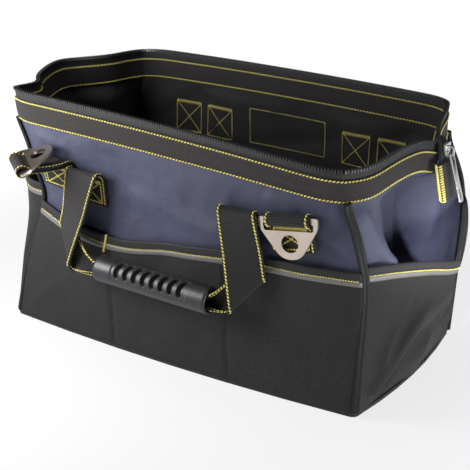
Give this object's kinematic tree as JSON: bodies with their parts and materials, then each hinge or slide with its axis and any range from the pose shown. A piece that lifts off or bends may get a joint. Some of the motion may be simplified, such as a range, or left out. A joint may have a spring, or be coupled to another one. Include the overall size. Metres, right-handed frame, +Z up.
{
  "type": "tool bag",
  "caption": "Open wide-mouth tool bag of blue and black cloth with a zipped rim, outside pockets, hanging webbing handles with moulded grips and triangular strap rings.",
  "frame": {"origin": "middle of the flat underside of the base", "axes": "+X along the bag's length to its right, the zip-slider end; +Y to the back; +Z up, the front faces -Y"},
  "size_m": [0.4933, 0.3069, 0.246],
  "materials": {
    "blue_cloth": "woven, slight sheen",
    "black_cloth": "woven, matte",
    "black_webbing": "ribbed webbing, matte",
    "reflective_strip": "grey, satin",
    "zip_tape": "woven tape, matte",
    "grip_plastic": "moulded, satin",
    "nickel": "satin nickel"
  },
  "bodies": {
    "bag": {"base_panel": "black_cloth", "front_wall": "blue_cloth", "front_pocket": "black_cloth", "front_binding": "black_webbing", "front_reflector": "reflective_strip", "right_end_wall": "blue_cloth", "right_end_pocket": "black_cloth", "right_end_binding": "black_webbing", "right_end_reflector": "reflective_strip", "back_wall": "blue_cloth", "back_pocket": "black_cloth", "back_binding": "black_webbing", "back_reflector": "reflective_strip", "left_end_wall": "blue_cloth", "left_end_pocket": "black_cloth", "left_end_binding": "black_webbing", "left_end_reflector": "reflective_strip", "corner_cord_front_left": "black_webbing", "corner_cord_front_right": "black_webbing", "corner_cord_back_right": "black_webbing", "corner_cord_back_left": "black_webbing", "rim_band_front": "black_webbing", "zip_tape_front": "zip_tape", "rim_band_back": "black_webbing", "zip_tape_back": "zip_tape", "front_handle_strap": "black_webbing", "back_handle_strap": "black_webbing", "front_grip": "grip_plastic", "back_grip": "grip_plastic", "ring_loop_front_left": "black_webbing", "ring_loop_front_right": "black_webbing", "ring_loop_back_left": "black_webbing", "ring_loop_back_right": "black_webbing", "zip_tail": "zip_tape", "zip_end_tab": "black_webbing", "zip_slider": "nickel", "zip_start_tab": "zip_tape"},
    "ring_front_left_body": {"ring_front_left": "nickel"},
    "ring_front_right_body": {"ring_front_right": "nickel"},
    "ring_back_left_body": {"ring_back_left": "nickel"},
    "ring_back_right_body": {"ring_back_right": "nickel"},
    "zip_pull_body": {"zip_pull": "nickel"}
  },
  "joints": [
    {"name": "ring_front_left_swing", "type": "hinge", "parent": "bag", "child": "ring_front_left_body", "pos_m": [-0.1471, -0.143, 0.188], "axis": [0.7671, -0.6415, 0], "range_deg": [0, 240]},
    {"name": "ring_front_right_swing", "type": "hinge", "parent": "bag", "child": "ring_front_right_body", "pos_m": [0.13659, -0.11975, 0.187], "axis": [-0.9866, -0.0852, -0.1392], "range_deg": [0, 150]},
    {"name": "ring_back_left_swing", "type": "hinge", "parent": "bag", "child": "ring_back_left_body", "pos_m": [-0.13637, 0.11699, 0.185], "axis": [0.9985, 0.0541, 0], "range_deg": [0, 150]},
    {"name": "ring_back_right_swing", "type": "hinge", "parent": "bag", "child": "ring_back_right_body", "pos_m": [0.13623, 0.11873, 0.185], "axis": [0.9994, -0.0332, 0], "range_deg": [0, 150]},
    {"name": "zip_pull_swing", "type": "hinge", "parent": "bag", "child": "zip_pull_body", "pos_m": [0.2351, -0.00624, 0.23339], "axis": [0, -1, 0], "range_deg": [0, 70]}
  ]
}
